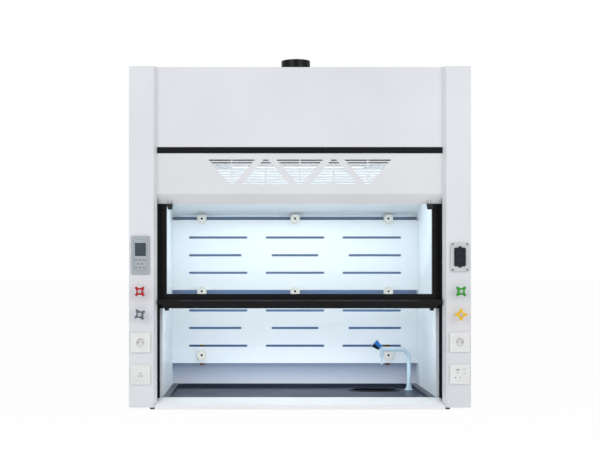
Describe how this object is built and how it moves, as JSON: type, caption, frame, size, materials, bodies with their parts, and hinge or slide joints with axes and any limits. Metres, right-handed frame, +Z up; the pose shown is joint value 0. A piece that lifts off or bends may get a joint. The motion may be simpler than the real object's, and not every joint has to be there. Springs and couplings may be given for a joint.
{
  "type": "benchtop fume hood",
  "caption": "Benchtop fume hood with a counterbalanced vertical sash, slotted baffles, cup sink, tap and service posts.",
  "frame": {"origin": "centre of the base's underside", "axes": "+Z up, -Y towards the user, +X to the user's right"},
  "size_m": [1.5, 0.8975, 1.626],
  "materials": {
    "shell": "powder coat, semi-gloss",
    "base": "dark paint",
    "black_trim": "satin black",
    "grille": "powder coat, semi-gloss",
    "liner": "smooth white laminate",
    "baffle": "smooth white laminate",
    "bracket": "dull",
    "cream": "moulded cream",
    "worktop": "honed resin",
    "sink": "black moulded",
    "guide": "black extrusion",
    "sash_frame": "black powder coat",
    "glass": "clear toughened",
    "rubber": "matt",
    "iron": "as cast, painted",
    "pulley": "acetal",
    "zinc": "zinc plated",
    "cable": "steel rope",
    "collar": "glossy black",
    "diffuser": "opal",
    "controller": "grey moulded",
    "screen": "dark window",
    "breaker_grey": "grey moulded",
    "breaker_blue": "blue moulded",
    "smoke": "smoked",
    "screw": "plated",
    "red": "moulded red",
    "grey": "moulded grey",
    "green": "moulded green",
    "yellow": "moulded yellow",
    "valve": "machined",
    "escutcheon": "white moulded",
    "socket": "white moulded",
    "tap": "epoxy coated brass",
    "tap_blue": "moulded blue and black"
  },
  "bodies": {
    "cabinet": {"base_frame": "base", "side_panel_left": "shell", "side_panel_right": "shell", "back_panel": "shell", "roof_panel": "shell", "post_left": "shell", "post_right": "shell", "upper_front_panel": "shell", "trim_strip": "black_trim", "grille_panel": "grille", "sill": "shell", "inner_liner_left": "liner", "inner_liner_right": "liner", "rear_liner": "liner", "ceiling_liner": "liner", "access_covers": "liner", "upper_baffle": "baffle", "middle_baffle": "baffle", "lower_baffle": "baffle", "baffle_brackets": "bracket", "baffle_knobs": "cream", "worktop": "worktop", "cup_sink": "sink", "sash_guides": "guide", "header_stops": "rubber", "pulley_brackets": "zinc", "pulley_axles": "zinc", "cable_top_runs": "cable", "exhaust_collar": "collar", "lamp_housing": "zinc", "lamp_diffuser": "diffuser", "controller_housing": "controller", "controller_screen": "screen", "breaker_plate": "breaker_grey", "plate_screws": "screw", "service_valves": "valve", "valve_escutcheons": "escutcheon", "round_sockets": "socket", "pin_sockets": "socket", "tap_body": "tap"},
    "sash": {"sash_stile_left": "sash_frame", "sash_stile_right": "sash_frame", "sash_bottom_rail": "sash_frame", "sash_top_rail": "sash_frame", "sash_glass": "glass", "sash_bumpers": "rubber", "cable_front_runs": "cable"},
    "counterweights": {"counterweight_left": "iron", "counterweight_right": "iron", "cable_rear_runs": "cable"},
    "front_pulleys": {"front_pulleys": "pulley"},
    "rear_pulleys": {"rear_pulleys": "pulley"},
    "red_knob": {"red_knob": "red"},
    "grey_knob": {"grey_knob": "grey"},
    "green_knob": {"green_knob": "green"},
    "yellow_knob": {"yellow_knob": "yellow"},
    "tap_knob": {"tap_knob": "tap_blue"},
    "breaker_flap": {"breaker_flap": "smoke"},
    "breaker_toggles": {"breaker_toggles": "breaker_blue"},
    "socket_rocker": {"socket_rocker": "socket"}
  },
  "joints": [
    {"name": "sash_slide", "type": "slide", "parent": "cabinet", "child": "sash", "axis": [0, 0, 1], "range_m": [-0.3855, 0.395], "deforming": ["cable_front_runs"]},
    {"name": "counterweight_slide", "type": "slide", "parent": "cabinet", "child": "counterweights", "axis": [0, 0, 1], "range_m": [-0.396, 0.3865], "deforming": ["cable_rear_runs"]},
    {"name": "front_pulley_turn", "type": "hinge", "parent": "cabinet", "child": "front_pulleys", "pos_m": [0, -0.3215, 1.44], "axis": [-1, 0, 0], "range_deg": [-884.5, 906.27]},
    {"name": "rear_pulley_turn", "type": "hinge", "parent": "cabinet", "child": "rear_pulleys", "pos_m": [0, 0.25, 1.44], "axis": [-1, 0, 0], "range_deg": [-884.5, 906.27]},
    {"name": "red_knob_turn", "type": "hinge", "parent": "cabinet", "child": "red_knob", "pos_m": [-0.699, -0.425, 0.518], "axis": [0, -1, 0], "range_deg": [0, 270]},
    {"name": "grey_knob_turn", "type": "hinge", "parent": "cabinet", "child": "grey_knob", "pos_m": [-0.699, -0.425, 0.417], "axis": [0, -1, 0], "range_deg": [0, 270]},
    {"name": "green_knob_turn", "type": "hinge", "parent": "cabinet", "child": "green_knob", "pos_m": [0.7, -0.425, 0.518], "axis": [0, -1, 0], "range_deg": [0, 270]},
    {"name": "yellow_knob_turn", "type": "hinge", "parent": "cabinet", "child": "yellow_knob", "pos_m": [0.7, -0.425, 0.417], "axis": [0, -1, 0], "range_deg": [0, 270]},
    {"name": "tap_knob_turn", "type": "hinge", "parent": "cabinet", "child": "tap_knob", "pos_m": [0.421, 0.174, 0.224], "axis": [-0.7604, 0, 0.6494], "range_deg": [0, 270]},
    {"name": "breaker_flap_lift", "type": "hinge", "parent": "cabinet", "child": "breaker_flap", "pos_m": [0.7, -0.4363, 0.713], "axis": [-1, 0, 0], "range_deg": [0, 105]},
    {"name": "breaker_toggle_tip", "type": "hinge", "parent": "cabinet", "child": "breaker_toggles", "pos_m": [0.7, -0.424, 0.668], "axis": [1, 0, 0], "range_deg": [0, 60]},
    {"name": "socket_rocker_tip", "type": "hinge", "parent": "cabinet", "child": "socket_rocker", "pos_m": [0.72, -0.4295, 0.167], "axis": [-1, 0, 0], "range_deg": [0, 12]}
  ],
  "couplings": [
    {"joint": "counterweight_slide", "follows": "sash_slide", "ratio": -1},
    {"joint": "front_pulley_turn", "follows": "sash_slide", "rad_per_m": 40},
    {"joint": "rear_pulley_turn", "follows": "sash_slide", "rad_per_m": 40}
  ]
}
